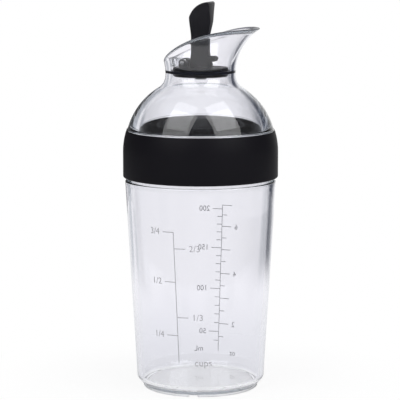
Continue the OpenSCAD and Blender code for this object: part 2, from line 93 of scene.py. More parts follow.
# %% A small language for materials
class Wire:
    """One output socket of a node. Sums on it become Math nodes."""

    def __init__(self, finish, socket):
        self.finish = finish
        self.socket = socket

    def __add__(self, other):
        return self.finish.math("ADD", self, other)

    def __radd__(self, other):
        return self.finish.math("ADD", other, self)

    def __sub__(self, other):
        return self.finish.math("SUBTRACT", self, other)

    def __rsub__(self, other):
        return self.finish.math("SUBTRACT", other, self)

    def __mul__(self, other):
        return self.finish.math("MULTIPLY", self, other)

    def __rmul__(self, other):
        return self.finish.math("MULTIPLY", other, self)


class Finish:
    """A material, or the world, while it is being built."""

    def __init__(self, name, owner=None):
        self.owner = owner or bpy.data.materials.new(name)
        self.owner.use_nodes = True
        self.tree = self.owner.node_tree
        self.tree.nodes.clear()

    def node(self, kind, settings=None, inputs=None, output=0):
        """Adds a node, sets it up, fills or links its inputs, and gives one of its outputs as a Wire."""
        made = self.tree.nodes.new(kind)
        for key, value in (settings or {}).items():
            if key == "stops":
                self.set_stops(made.color_ramp, value)
            else:
                setattr(made, key, value)
        for key, value in (inputs or {}).items():
            if isinstance(value, Wire):
                self.tree.links.new(value.socket, made.inputs[key])
            else:
                made.inputs[key].default_value = value
        return None if output is None else Wire(self, made.outputs[output])

    def set_stops(self, ramp, stops):
        """A ramp's stops are pairs of a place and a grey or a colour."""
        while len(ramp.elements) < len(stops):
            ramp.elements.new(1)
        for element, (place, value) in zip(ramp.elements, stops):
            element.position = place
            element.color = value if isinstance(value, tuple) else (value, value, value, 1)

    def math(self, operation, *values):
        """A Math node on one, two or three wires or numbers."""
        return self.node("ShaderNodeMath", {"operation": operation}, dict(enumerate(values)))

    def place(self):
        """Where a point lies on the piece, in metres."""
        return self.node("ShaderNodeTexCoord", output="Object")

    def noise(self, size, detail=2, stretch=(1, 1, 1), rough=0.5):
        """A soft pattern from 0 to 1 whose blotches are about that size in metres."""
        where = self.node("ShaderNodeMapping", {}, {"Vector": self.place(), "Scale": stretch})
        inputs = {"Vector": where, "Scale": 1 / size, "Detail": detail, "Roughness": rough}
        return self.node("ShaderNodeTexNoise", {}, inputs)

    def band(self, value, low, high):
        """Goes from 0 to 1 as a value goes from low to high."""
        inputs = {"Value": value, "From Min": low, "From Max": high}
        return self.node("ShaderNodeMapRange", {"interpolation_type": "SMOOTHSTEP"}, inputs)

    def height(self):
        """The Z coordinate of a point on the piece, in metres."""
        return self.node("ShaderNodeSeparateXYZ", {}, {"Vector": self.place()}, output="Z")

    def mix(self, share, first, second):
        """A colour between two colours."""
        settings = {"data_type": "RGBA"}
        return self.node("ShaderNodeMix", settings, {"Factor": share, 6: first, 7: second}, output=2)

    def bump(self, pattern, depth, strength=1.0):
        """A normal that is tilted by a pattern of that depth in metres."""
        inputs = {"Height": pattern, "Distance": depth, "Strength": strength}
        return self.node("ShaderNodeBump", {}, inputs, output="Normal")

    def surface(self, shader, volume=None):
        """Ends the graph and gives the material."""
        kind = "ShaderNodeOutputWorld" if isinstance(self.owner, bpy.types.World) else "ShaderNodeOutputMaterial"
        self.node(kind, {}, {"Surface": shader, "Volume": volume} if volume else {"Surface": shader}, output=None)
        return self.owner


def rgb(red, green, blue):
    """A colour as the eye reads it, from 0 to 255, turned into the linear light that Blender uses."""
    def linear(value):
        value /= 255
        return value / 12.92 if value <= 0.04045 else ((value + 0.055) / 1.055) ** 2.4
    return (linear(red), linear(green), linear(blue), 1)


print("ready to build materials")

# %% [markdown]
# Clear plastic shows what stands round it, so its look is mostly the studio's. A product photographer
# puts a bright sheet behind the bottle and dark cards beside it: the sheet makes the middle clear, and
# the cards draw dark lines at the edges, where the wall bends light sideways. In the photograph a wide
# dark card stands to the right behind the bottle, and a narrow grey one to the left. The same pair
# stands at each quarter turn, paler, so that the bottle has edges from every side. What the camera sees
# directly is plain white. Light that has bounced off a matt surface gets the room's level, and what the
# clear walls mirror back from the camera's side of the studio is dark, as black plastic's gloss is.

# %% Studio world
ROOM_LIGHT = 0.42                 # what lights the matt surfaces from all round
GLOSS_LIGHT = 0.11                # what black plastic mirrors, away from the soft boxes
BACKDROP = 105                    # the turn, in degrees, at which the photograph's backdrop stands
SHEET_TONE = rgb(250, 249, 253)   # the sheet as it's seen through the bottle
DARK_CARD = rgb(62, 68, 84)
GREY_CARD = rgb(196, 199, 206)


def show_cards(finish, tone, towards, strength):
    """Lays the dark and the grey card over a tone, for a direction of that turn round the axis."""
    quarter = finish.math("WRAP", towards - BACKDROP, 45, -45)
    ahead = finish.math("WRAP", towards - BACKDROP, 180, -180)
    wide = finish.band(ahead, -6, -31) * finish.band(ahead, -58, -41)
    pale = finish.band(quarter, -3, -20) * finish.band(quarter, -43, -34) * 0.3
    grey = finish.band(quarter, 20, 24) * (1 - finish.band(quarter, 36, 41))
    tone = finish.mix(finish.math("MAXIMUM", wide, pale) * strength, tone, DARK_CARD)
    return finish.mix(grey * strength, tone, GREY_CARD)


world = bpy.data.worlds.new("studio")
bpy.context.scene.world = world
studio = Finish("studio", world)
ray = "ShaderNodeLightPath"
seen = studio.node(ray, output="Is Camera Ray")
through = studio.node(ray, output="Is Transmission Ray")
mirrored = studio.node(ray, output="Is Glossy Ray") * (1 - through)
scattered = studio.band(studio.node(ray, output="Diffuse Depth"), 0, 1)
turned_back = studio.band(studio.node(ray, output="Glossy Depth"), 0, 1)
direction = studio.node("ShaderNodeTexCoord", output="Generated")
axes = [studio.node("ShaderNodeSeparateXYZ", {}, {"Vector": direction}, output=axis) for axis in "XYZ"]
turn = studio.math("ARCTAN2", axes[1], axes[0]) * (180 / math.pi)
ahead = studio.math("WRAP", turn - BACKDROP, 180, -180)
level_view = studio.band(axes[2], 0.5, 0.3) * studio.band(axes[2], -0.27, -0.19)
overhead = studio.band(axes[2], 0.45, 0.8)
clear_view = show_cards(studio, SHEET_TONE, turn, level_view)
clear_view = studio.mix(overhead, clear_view, rgb(196, 199, 205))
window = studio.band(ahead, -50, -10) * studio.band(ahead, 6, -4)
gloss_level = GLOSS_LIGHT + (1 - GLOSS_LIGHT) * window * (1 - overhead)
in_front = studio.band(studio.math("ABSOLUTE", ahead), 45, 80) * turned_back
clear_level = 1 - (1 - GLOSS_LIGHT) * in_front * (1 - overhead)
matt_level = (1 - seen) * (1 - mirrored) * (1 - through) * ROOM_LIGHT
direct_level = seen + mirrored * gloss_level + through * clear_level + matt_level
level = direct_level * (1 - scattered) + ROOM_LIGHT * scattered
colour = studio.mix(through * (1 - scattered), rgb(255, 255, 255), clear_view)
sky = studio.node("ShaderNodeBackground", {}, {"Color": colour, "Strength": level})
studio.surface(sky)
print("world ready")

# %% [markdown]
# Two tall soft boxes stand in front, one to each side, as in most product photographs. They light what
# isn't clear, and the dome mirrors them as the two grey patches over its dark inside. The floor is a
# white sheet: the camera sees mostly its own white, and a share of its lit surface is mixed in near the
# bottle, so that the bottle keeps its shadow. A little further out it turns into the world's white, and
# seen through the clear walls it shows the same cards, because such rays reach it far behind the bottle.
# Seen through the walls close to the bottle it carries a painted shade, and it is white again under the foot.

# %% Soft boxes and floor
BOX_AWAY = 1.2
BOX_WIDE, BOX_TALL = 0.9, 1.17


def soft_box(name, turned, raised, radiance):
    """A soft box that faces the bottle, turned from the camera's side and raised, both in degrees."""
    around = VIEW_TURN - math.pi / 2 + math.radians(turned)
    up = math.radians(raised)
    away = Vector((math.cos(around) * math.cos(up), math.sin(around) * math.cos(up), math.sin(up)))
    light = bpy.data.lights.new(name, "AREA")
    light.shape = "RECTANGLE"
    light.size, light.size_y = BOX_WIDE, BOX_TALL
    light.energy = radiance * math.pi * BOX_WIDE * BOX_TALL
    lamp = bpy.data.objects.new(name, light)
    bpy.context.scene.collection.objects.link(lamp)
    lamp.location = Vector((0, 0, 0.1)) + away * BOX_AWAY
    lamp.rotation_euler = (-away).to_track_quat("-Z", "Y").to_euler()


soft_box("left_box", -42, 36, 2.3)
soft_box("right_box", 47, 36, 2.9)

FLOOR_WHITE = 0.9                 # the share of the floor's white that no shadow reaches
FLOOR_R = 0.5
NEAR_PAINTED_SHADE = rgb(233, 233, 238)    # painted shade: the floor close to the bottle, greyer as it's seen through the foot
paper = Finish("floor_paper")
seen = paper.node(ray, output="Is Camera Ray")
through = paper.node(ray, output="Is Transmission Ray")
mirrored = paper.node(ray, output="Is Glossy Ray") * (1 - through)
grain = paper.noise(0.004, detail=4)
tone = paper.mix(grain, rgb(238, 238, 240), rgb(246, 246, 248))
lit = paper.node("ShaderNodeBsdfDiffuse", {}, {"Color": tone})
from_axis = paper.node("ShaderNodeVectorMath", {"operation": "LENGTH"}, {0: paper.place()}, output="Value")
spot = [paper.node("ShaderNodeSeparateXYZ", {}, {"Vector": paper.place()}, output=axis) for axis in "XY"]
turn = paper.math("ARCTAN2", spot[1], spot[0]) * (180 / math.pi)
# painted shade: through the walls the floor is greyer near the bottle, and white again right under the foot
painted_near_shade = paper.mix(paper.band(from_axis, 0.04, 0.26), NEAR_PAINTED_SHADE, SHEET_TONE)
painted_near_shade = paper.mix(paper.band(from_axis, 0.035, 0.024), painted_near_shade, rgb(255, 255, 255))
clear_tone = show_cards(paper, painted_near_shade, turn, paper.band(from_axis, 0.21, 0.34))
white_tone = paper.mix(through, rgb(255, 255, 255), clear_tone)
glow = paper.node("ShaderNodeEmission", {}, {"Color": white_tone, "Strength": 1.0})
fade = paper.band(from_axis, 0.035, 0.11)
direct = 1 - paper.band(paper.node(ray, output="Diffuse Depth"), 0, 1)
white = paper.math("MAXIMUM", seen, through)
share = (white * (FLOOR_WHITE + (1 - FLOOR_WHITE) * fade) + mirrored * GLOSS_LIGHT) * direct
paper_mix = paper.node("ShaderNodeMixShader", {}, {0: share, 1: lit, 2: glow})
floor_material = paper.surface(paper_mix)

bm = bmesh.new()
bmesh.ops.create_circle(bm, cap_ends=True, segments=96, radius=FLOOR_R)
floor_mesh = bpy.data.meshes.new("floor")
bm.to_mesh(floor_mesh)
bm.free()
floor = bpy.data.objects.new("floor", floor_mesh)
bpy.context.scene.collection.objects.link(floor)
floor.data.materials.append(floor_material)
print("two soft boxes and a floor")

# %% [markdown]
# The cup, the dome and the hinge's ears are clear moulded plastic. A Principled shader with full
# transmission and the index of such a plastic does the bending. Real mouldings aren't perfect: the melt
# leaves a slow ripple in the wall, and handling leaves a faint haze of fine scuffs, so the roughness
# varies a little and a very shallow bump moves the reflections. The plastic takes up a little more red
# than blue on the way through it, which shows only where light travels far inside, as in the foot.

# %% Clear plastic
PLASTIC_INDEX = 1.53
THICK_TINT = rgb(140, 190, 217)   # what a long way through the plastic lets pass
TINT_DENSITY = 5
LIP_PAINTED_SHADE = rgb(86, 88, 99)    # painted shade on the spout's matt lip, darkest towards its tip


def make_clear(name, tint, haze):
    clear = Finish(name)
    ripple = clear.noise(9 * MM, detail=1, stretch=(1, 1, 0.45))
    scuff = clear.noise(0.8 * MM, detail=5, stretch=(1, 1, 0.15), rough=0.7)
    scuffed = clear.band(scuff, 0.52, 0.74)
    colour = clear.mix(clear.noise(30 * MM, detail=1), tint, rgb(252, 252, 253))
    matt_edge = clear.node("ShaderNodeAttribute", {"attribute_name": "matt_edge"}, output="Fac")
    rubbed = clear.band(clear.height(), 1.7 * MM, 1.0 * MM)
    towards_tip = clear.node("ShaderNodeSeparateXYZ", {}, {"Vector": clear.place()}, output="X")
    # painted shade: the lip's colour darkens towards the spout's tip
    painted_lip_shade = matt_edge * clear.band(towards_tip, -4 * MM, 13 * MM)
    colour = clear.mix(painted_lip_shade, colour, LIP_PAINTED_SHADE)
    shader = clear.node("ShaderNodeBsdfPrincipled", {}, {
        "Base Color": colour,
        "Roughness": 0.012 + haze * scuffed + 0.3 * matt_edge + 0.3 * rubbed,
        "IOR": PLASTIC_INDEX,
        "Transmission Weight": 1.0,
        "Normal": clear.bump(ripple, 0.05 * MM, 0.25),
    })
    depth_tint = clear.node("ShaderNodeVolumeAbsorption", {}, {"Color": THICK_TINT, "Density": TINT_DENSITY})
    return clear.surface(shader, depth_tint)


cup_clear = make_clear("cup_clear_plastic", rgb(251, 251, 253), 0.05)
dome_clear = make_clear("dome_clear_plastic", rgb(251, 251, 253), 0.035)
print("clear plastics:", cup_clear.name, dome_clear.name)

# %% [markdown]
# The band and the lever are black plastic with a fine spark texture from the mould, which makes them
# satin: it scatters the reflection without hiding it. Hands polish the places they touch, so the
# texture fades there. The seals are soft and a little bluer, the pin and screw are steel, and the
# scales are printed in grey ink.

# %% Black plastic, seals, steel and ink
def make_black(name, colour, worn_colour, rough, sheen, grain_size, worn_from, worn_to):
    """Satin black plastic that is smoother and paler between two heights, where it is handled."""
    black = Finish(name)
    grain = black.noise(grain_size, detail=3, rough=0.6)
    cloud = black.noise(12 * MM, detail=3)
    worn = black.band(black.height(), worn_from, worn_to) * cloud
    shader = black.node("ShaderNodeBsdfPrincipled", {}, {
        "Base Color": black.mix(worn, colour, worn_colour),
        "Roughness": rough + 0.12 * (cloud - 0.5) - 0.1 * worn,
        "IOR": 1.5,
        "Specular IOR Level": sheen,
        "Normal": black.bump(grain, 0.03 * MM, 0.5),
    })
    return black.surface(shader)


band_low, band_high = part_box("collar_band")
lever_low, lever_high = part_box("lever")
band_black = make_black(
    "band_satin_black", rgb(14, 13, 18), rgb(19, 18, 23), 0.5, 0.09, 0.35 * MM, band_low.z, band_high.z)
lever_black = make_black(
    "lever_satin_black", rgb(20, 20, 25), rgb(28, 27, 33), 0.42, 0.2, 0.25 * MM,
    lever_high.z - 14 * MM, lever_high.z)


def make_seal(name):
    seal = Finish(name)
    dust = seal.band(seal.noise(0.5 * MM, detail=4), 0.55, 0.8)
    shader = seal.node("ShaderNodeBsdfPrincipled", {}, {
        "Base Color": seal.mix(dust, rgb(20, 23, 38), rgb(34, 37, 52)),
        "Roughness": 0.35 + 0.25 * dust,
        "IOR": 1.42,
        "Specular IOR Level": 0.2,
        "Normal": seal.bump(seal.noise(1.5 * MM, detail=2), 0.03 * MM, 0.4),
    })
    return seal.surface(shader)


def make_steel(name):
    steel = Finish(name)
    lines = steel.noise(0.12 * MM, detail=3, stretch=(1, 0.05, 1))
    shader = steel.node("ShaderNodeBsdfPrincipled", {}, {
        "Base Color": steel.mix(lines, rgb(196, 197, 200), rgb(222, 223, 226)),
        "Metallic": 1.0,
        "Roughness": 0.18 + 0.15 * lines,
        "Normal": steel.bump(lines, 0.01 * MM, 0.4),
    })
    return steel.surface(shader)


def make_ink(name, dark, pale):
    ink = Finish(name)
    speckle = ink.noise(0.18 * MM, detail=3)
    shader = ink.node("ShaderNodeBsdfPrincipled", {}, {
        "Base Color": ink.mix(speckle, rgb(dark, dark, dark + 5), rgb(pale, pale, pale + 5)),
        "Roughness": 0.5 + 0.2 * speckle,
        "IOR": 1.45,
        "Normal": ink.bump(speckle, 0.01 * MM, 0.3),
    })
    return ink.surface(shader)


cap_black = make_black(
    "cap_satin_black", rgb(11, 14, 24), rgb(15, 18, 28), 0.45, 0.08, 0.5 * MM, lever_low.z, lever_high.z)
seal_rubber = make_seal("seal_rubber")
pin_steel = make_steel("pin_steel")
front_ink = make_ink("front_ink", 144, 172)
# the far scale's ink is paler: a painted haze, for the two clear walls it is seen through
back_ink = make_ink("back_ink", 172, 198)
print("opaque finishes ready")

# %% [markdown]
# Most of the bottle is turned: an outline swept once round the axis. The outline is a list of corners,
# each with the radius that rounds it, and one helper puts the arcs in. Spinning it with merged ends
# gives a closed shell. Faces that meet at a shallow angle are shaded as one curve and the others stay
# crisp.

# %% Turning helpers
TURN_STEPS = 256


def rounded(corners, arc_steps=6):
    """Points (radius, height) of a closed outline whose corners are (radius, height, rounding), in metres."""
    points = []
    count = len(corners)
    for i, (x, z, rounding) in enumerate(corners):
        here = Vector((x, z))
        before = Vector(corners[i - 1][:2]) - here
        after = Vector(corners[(i + 1) % count][:2]) - here
        if rounding <= 0:
            points.append((here, 0))
            continue
        half = before.angle(after) / 2
        reach = min(rounding / math.tan(half), before.length * 0.49, after.length * 0.49)
        radius = reach * math.tan(half)
        middle = here + (before.normalized() + after.normalized()).normalized() * (radius / math.sin(half))
        start = here + before.normalized() * reach - middle
        finish = here + after.normalized() * reach - middle
        sweep = start.angle_signed(finish)
        for k in range(arc_steps + 1):
            turn = -sweep * k / arc_steps
            c, s = math.cos(turn), math.sin(turn)
            points.append((middle + Vector((start.x * c - start.y * s, start.x * s + start.y * c)), 0))
    return [tuple(p) for p, _ in points]


def with_rows(points, spacing=4 * MM, closeness=0.15 * MM):
    """Adds rows along the long straight parts, and one close to each end, so that the smooth shading of
    a corner doesn't spread over the wall beside it."""
    made = []
    for here, after in zip(points, points[1:] + points[:1]):
        made.append(here)
        length = math.dist(here, after)
        if length > 8 * closeness:
            count = int(length / spacing) + 1
            places = [closeness / length] + [k / count for k in range(1, count)] + [1 - closeness / length]
            made += [tuple(a + (b - a) * t for a, b in zip(here, after)) for t in places]
    return made


def arc(centre, radius, first, last, steps):
    """Points on an arc, between two angles in degrees."""
    made = []
    for k in range(steps + 1):
        a = math.radians(first + (last - first) * k / steps)
        made.append((centre[0] + radius * math.cos(a), centre[1] + radius * math.sin(a)))
    return made


def turned(outline, steps=TURN_STEPS, tags=None):
    """A bmesh of an outline of (radius, height) points, swept round the Z axis. An outline that doesn't
    start and end on the axis is closed first."""
    bm = bmesh.new()
    tag = bm.verts.layers.float.new("tag")
    part = bm.verts.layers.int.new("part")
    verts = []
    for i, (radius, height) in enumerate(outline):
        vert = bm.verts.new((radius, 0, height))
        if tags:
            vert[part], vert[tag] = tags[i]
        verts.append(vert)
    edges = [bm.edges.new((a, b)) for a, b in zip(verts, verts[1:])]
    if outline[0][0] > 0:
        edges.append(bm.edges.new((verts[-1], verts[0])))
    bmesh.ops.spin(bm, geom=verts + edges, cent=(0, 0, 0), axis=(0, 0, 1), dvec=(0, 0, 0),
                   angle=2 * math.pi, steps=steps, use_merge=True, use_duplicate=False)
    bmesh.ops.remove_doubles(bm, verts=bm.verts, dist=1e-7)
    bmesh.ops.recalc_face_normals(bm, faces=bm.faces)
    return bm


def make_piece(name, bm, body, material, nodes=(), sharp=38):
    """Turns a bmesh into a piece of the bottle that rides on a body and stands for CAD nodes."""
    mesh = bpy.data.meshes.new(name)
    bm.to_mesh(mesh)
    bm.free()
    mesh.shade_smooth()
    mesh.set_sharp_from_angle(angle=math.radians(sharp))
    piece = bpy.data.objects.new(name, mesh)
    bpy.context.scene.collection.objects.link(piece)
    mesh.materials.append(material)
    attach(piece, body)
    if nodes:
        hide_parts(*nodes)
    print(f"{name}: {len(mesh.polygons)} faces on {body}")
    return piece


# %% [markdown]
# Both screw threads follow one rule, so they stay in mesh: the ridge's middle climbs by the lead in
# each turn. Instead of joining a separate ridge to the wall, which would leave inner faces in the clear
# plastic, the wall's own points are pushed out, or in on the band, by the ridge's height.

# %% Thread rule
cup_low, cup_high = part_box("cup")
RIM_Z = cup_high.z
NECK_H = 11 * MM
SHOULDER_Z = RIM_Z - NECK_H
THREAD_LEAD = 8 * MM
THREAD_STARTS = 2
THREAD_TURN = 250
THREAD_H = 0.8 * MM
THREAD_ROOT_HALF = 0.95 * MM
THREAD_CREST_HALF = 0.5 * MM
THREAD_FADE = 33
THREAD_Z = SHOULDER_Z + (NECK_H - THREAD_LEAD * THREAD_TURN / 360) / 2


def ridge(co, first_z):
    """Height of the thread's ridge at a point of the wall."""
    best = 0
    for start in range(THREAD_STARTS):
        a = (math.degrees(math.atan2(co.y, co.x)) - start * 360 / THREAD_STARTS) % 360
        if a > THREAD_TURN:
            continue
        off = abs(co.z - first_z - THREAD_LEAD * a / 360)
        slope = (THREAD_ROOT_HALF - off) / (THREAD_ROOT_HALF - THREAD_CREST_HALF)
        fade = min(1, a / THREAD_FADE, (THREAD_TURN - a) / THREAD_FADE)
        best = max(best, THREAD_H * fade * min(1, max(0, slope)))
    return best


def push_wall(vert, distance):
    """Moves a point straight away from the axis."""
    out = Vector((vert.co.x, vert.co.y, 0)).normalized()
    vert.co += out * distance


print("thread from", round(THREAD_Z / MM, 2), "mm up")

# %% [markdown]
# The cup is one thick-walled shell: foot ring, bevel, tapered wall, rounded shoulder, neck and, inside,
# a filleted floor. Light runs in the wall and the foot, so the inside is modelled as carefully as the
# outside. The drain notches are made by lifting the foot ring's points where a notch crosses it.

# %% Cup
FOOT_R, FOOT_W, FOOT_H, FOOT_RECESS = 25.4 * MM, 2.0 * MM, 1.1 * MM, 0.9 * MM
WALL_Z, FLOOR_Z = 4.2 * MM, 3.2 * MM
CUP_BASE_R = 28.2 * MM
CUP_TOP_R = cup_high.x + 0.05 * MM
NECK_R = 31.9 * MM
MOUTH_R = 30.75 * MM
INNER_BASE_R = 26.0 * MM
NOTCHES, NOTCH_HALF, NOTCH_TURN = 3, 1.75 * MM, -82

neck_rows = [(NECK_R, SHOULDER_Z + NECK_H * k / 48, 0) for k in range(1, 48)]
cup_outline = rounded([
    (0, FOOT_RECESS, 0),
    (FOOT_R - FOOT_W, FOOT_RECESS, 0.3 * MM),
    (FOOT_R - FOOT_W, 0, 0.25 * MM),
    (FOOT_R, 0, 0.35 * MM),
    (FOOT_R, FOOT_H, 0.3 * MM),
    (CUP_BASE_R, WALL_Z, 2.0 * MM),
    (CUP_TOP_R, SHOULDER_Z, 1.2 * MM),
    (NECK_R, SHOULDER_Z, 0),
    *neck_rows,
    (NECK_R, RIM_Z, 0.3 * MM),
    (MOUTH_R, RIM_Z, 0.3 * MM),
    (MOUTH_R, SHOULDER_Z - 2 * MM, 0),
    (INNER_BASE_R - 0.05 * MM, FLOOR_Z, 2.5 * MM),
    (0, FLOOR_Z, 0),
])
cup_rows = with_rows(cup_outline)
if cup_rows[-1][0] < 0.01 * MM:
    cup_rows = cup_rows[:1 + max(i for i, point in enumerate(cup_rows) if point[0] > 0.01 * MM)] + [cup_outline[-1]]
bm = turned(cup_rows)
for vert in bm.verts:
    if vert.co.xy.length > NECK_R - 0.01 * MM and vert.co.z > SHOULDER_Z + 0.1 * MM:
        push_wall(vert, ridge(vert.co, THREAD_Z))
    for k in range(NOTCHES):
        turn = math.radians(NOTCH_TURN + k * 360 / NOTCHES)
        along = vert.co.x * math.cos(turn) + vert.co.y * math.sin(turn)
        beside = abs(vert.co.y * math.cos(turn) - vert.co.x * math.sin(turn))
        if along > FOOT_R - 1.5 * FOOT_W and beside < NOTCH_HALF and vert.co.z < FOOT_RECESS:
            vert.co.z = FOOT_RECESS
bmesh.ops.recalc_face_normals(bm, faces=bm.faces)
make_piece("cup_shell", bm, "cup", cup_clear, ["cup"])

# %% [markdown]
# Dome, neck and spout are one moulding. Its outline is spun like the cup's, but the flare ends at a
# slanted rim that differs all the way round. So the flare's points carry a tag that says how far along
# the flare they are, and after the spin each one slides along its arc until the last row lies on the
# rim, which is a wide arc seen from the side.

# %% Spout dome
dome_low, dome_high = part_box("spout_dome")
DOME_WALL = 2.2 * MM
DOME_ARC = (2.6 * MM, 107 * MM)
DOME_ARC_R = 30.6 * MM
SKIRT_R = 32.35 * MM
SPOUT_NECK_R = 15.4 * MM
FILLET_R = 6.5 * MM
FILLET_X = SPOUT_NECK_R + FILLET_R
FILLET_Z = DOME_ARC[1] + math.sqrt((DOME_ARC_R + FILLET_R) ** 2 - (FILLET_X - DOME_ARC[0]) ** 2)
FLARE_R = 24 * MM
FLARE = (SPOUT_NECK_R + FLARE_R, FILLET_Z + 0.3 * MM)
RIM_SWEEP_R = 62.8 * MM
RIM_SWEEP_X = 23.6 * MM
RIM_SWEEP_Z = FLARE[1] + 20.4 * MM - RIM_SWEEP_R
INNER_BASE_R = SKIRT_R - 4.75 * MM
INNER_Z = RIM_Z + 7.6 * MM
INNER_REACH = INNER_BASE_R + FILLET_R + DOME_WALL
INNER_X = (INNER_REACH ** 2 - FILLET_X ** 2 - (FILLET_Z - INNER_Z) ** 2) / (2 * (INNER_REACH - FILLET_X))
BEAD_R = 0.4 * MM
BEAD_Z = band_high.z + 0.1 * MM + BEAD_R
FLANGE_Z, FLANGE_T, FLANGE_OUT = dome_low.z, 1.5 * MM, 0.4 * MM
LIP_BULGE = 1.1 * MM
FIXED, INNER, OUTER, LIP = 0, 1, 2, 3
FLARE_ROWS, LIP_ROWS = 22, 9

touch = math.degrees(math.atan2(FILLET_Z - DOME_ARC[1], FILLET_X - DOME_ARC[0]))
inner_touch = math.degrees(math.atan2(FILLET_Z - INNER_Z, FILLET_X - INNER_X))
skirt_angle = math.degrees(math.acos((SKIRT_R - DOME_ARC[0]) / DOME_ARC_R))
bead_angle = math.degrees(math.asin((BEAD_Z - DOME_ARC[1]) / DOME_ARC_R))
bead_half = math.degrees(BEAD_R / DOME_ARC_R)
bead_centre = arc(DOME_ARC, DOME_ARC_R, bead_angle, bead_angle, 1)[0]
inner_side = (
    [(INNER_BASE_R, FLANGE_Z + 0.2 * MM), (INNER_BASE_R, INNER_Z - 2 * MM)]
    + arc((INNER_X, INNER_Z), INNER_BASE_R - INNER_X, 0, inner_touch, 32)
    + arc((FILLET_X, FILLET_Z), FILLET_R + DOME_WALL, 180 + inner_touch, 180, 12)[1:]
)
outer_side = (
    arc((FILLET_X, FILLET_Z), FILLET_R, 180, 180 + touch, 12)
    + arc(DOME_ARC, DOME_ARC_R, touch, bead_angle + bead_half, 26)[1:]
    + arc(bead_centre, BEAD_R, bead_angle + 85, bead_angle - 85, 12)
    + arc(DOME_ARC, DOME_ARC_R, bead_angle - bead_half, skirt_angle, 6)
    + [(SKIRT_R, FLANGE_Z + FLANGE_T), (SKIRT_R + FLANGE_OUT, FLANGE_Z + FLANGE_T),
       (SKIRT_R + FLANGE_OUT, FLANGE_Z), (INNER_BASE_R + 0.2 * MM, FLANGE_Z)]
)
flare_tags = [k / FLARE_ROWS for k in range(FLARE_ROWS + 1)]
lip_tags = [k / (LIP_ROWS + 1) for k in range(1, LIP_ROWS + 1)]
first_guess = [(FLARE[0] - FLARE_R - DOME_WALL, FLARE[1] + t * 15 * MM) for t in flare_tags]
outline = list(inner_side)
tags = [(FIXED, 0)] * len(inner_side)
outline += first_guess
tags += [(INNER, t) for t in flare_tags]
outline += [(SPOUT_NECK_R - DOME_WALL * (1 - t), FLARE[1] + 16 * MM) for t in lip_tags]
tags += [(LIP, t) for t in lip_tags]
outline += [(SPOUT_NECK_R, FLARE[1] + t * 15 * MM) for t in reversed(flare_tags)]
tags += [(OUTER, t) for t in reversed(flare_tags)]
outline += outer_side
tags += [(FIXED, 0)] * len(outer_side)


def flare_point(radius, angle):
    """Radius and height of a point on one of the flare's two arcs."""
    return FLARE[0] + radius * math.cos(angle), FLARE[1] + radius * math.sin(angle)


def rim_angle(radius, turn, short):
    """Angle on the flare's arc at which it ends, a short way before the rim, at one turn round the axis."""
    low, high = math.radians(95), math.pi
    for _ in range(40):
        middle = (low + high) / 2
        r, z = flare_point(radius, middle)
        rim_z = RIM_SWEEP_Z + math.sqrt(RIM_SWEEP_R ** 2 - (r * math.cos(turn) - RIM_SWEEP_X) ** 2)
        if z > rim_z:
            low = middle
        else:
            high = middle
    return high + short / radius


bm = turned(outline, tags=tags)
tag, part = bm.verts.layers.float["tag"], bm.verts.layers.int["part"]
# marks the spout's lip, which is matt and whose colour carries a painted shade
matt_edge = bm.verts.layers.float.new("matt_edge")
ends = {}
for vert in bm.verts:
    vert[matt_edge] = 1 if vert[part] == LIP else 0
    if vert[part] == FIXED:
        continue
    turn = math.atan2(vert.co.y, vert.co.x)
    key = round(math.degrees(turn), 3)
    if key not in ends:
        ends[key] = (
            rim_angle(FLARE_R + DOME_WALL, turn, LIP_BULGE),
            rim_angle(FLARE_R, turn, LIP_BULGE),
        )
    inner_end, outer_end = ends[key]
    if vert[part] == LIP:
        inner_r, inner_z = flare_point(FLARE_R + DOME_WALL, inner_end)
        outer_r, outer_z = flare_point(FLARE_R, outer_end)
        middle_angle = (inner_end + outer_end) / 2
        along = Vector((math.sin(middle_angle), -math.cos(middle_angle)))
        share = 0.5 - 0.5 * math.cos(math.pi * vert[tag])
        bulge = LIP_BULGE * math.sin(math.pi * vert[tag])
        r = inner_r + (outer_r - inner_r) * share + along.x * bulge
        z = inner_z + (outer_z - inner_z) * share + along.y * bulge
    else:
        radius, end = (FLARE_R + DOME_WALL, inner_end) if vert[part] == INNER else (FLARE_R, outer_end)
        r, z = flare_point(radius, math.pi - (math.pi - end) * vert[tag])
    vert.co = (r * math.cos(turn), r * math.sin(turn), z)
bmesh.ops.remove_doubles(bm, verts=bm.verts, dist=1e-7)
bmesh.ops.recalc_face_normals(bm, faces=bm.faces)
make_piece("spout_dome_shell", bm, "lid", dome_clear, ["spout_dome"])

# %% [markdown]
# The band is a barrel whose top draws in on a wide arc. Its edges are softly rounded, and inside it has
# the ledge that grips the dome and the thread that meets the cup's.

# %% Collar band
BAND_R = band_high.x
BORE_R = 32.95 * MM
LEDGE_Z = FLANGE_Z + FLANGE_T + 0.1 * MM
CROWN_R, CROWN_H = 31 * MM, 9.2 * MM
crown_centre = (BAND_R - CROWN_R, band_high.z - CROWN_H)
crown_end = math.degrees(math.asin(CROWN_H / CROWN_R))
crown = arc(crown_centre, CROWN_R, 0, crown_end, 16)
bore_rows = [(BORE_R, LEDGE_Z - (LEDGE_Z - band_low.z) * k / 56, 0) for k in range(1, 56)]
band_outline = rounded([
    (BAND_R, band_low.z, 0.6 * MM),
    *[(x, z, 0) for x, z in crown[:-1]],
    (crown[-1][0], crown[-1][1], 0.14 * MM),
    (SKIRT_R + 0.1 * MM, band_high.z, 0.1 * MM),
    (SKIRT_R + 0.1 * MM, LEDGE_Z, 0),
    (BORE_R, LEDGE_Z, 0),
    *bore_rows,
    (BORE_R, band_low.z, 0.3 * MM),
])
bm = turned(band_outline)
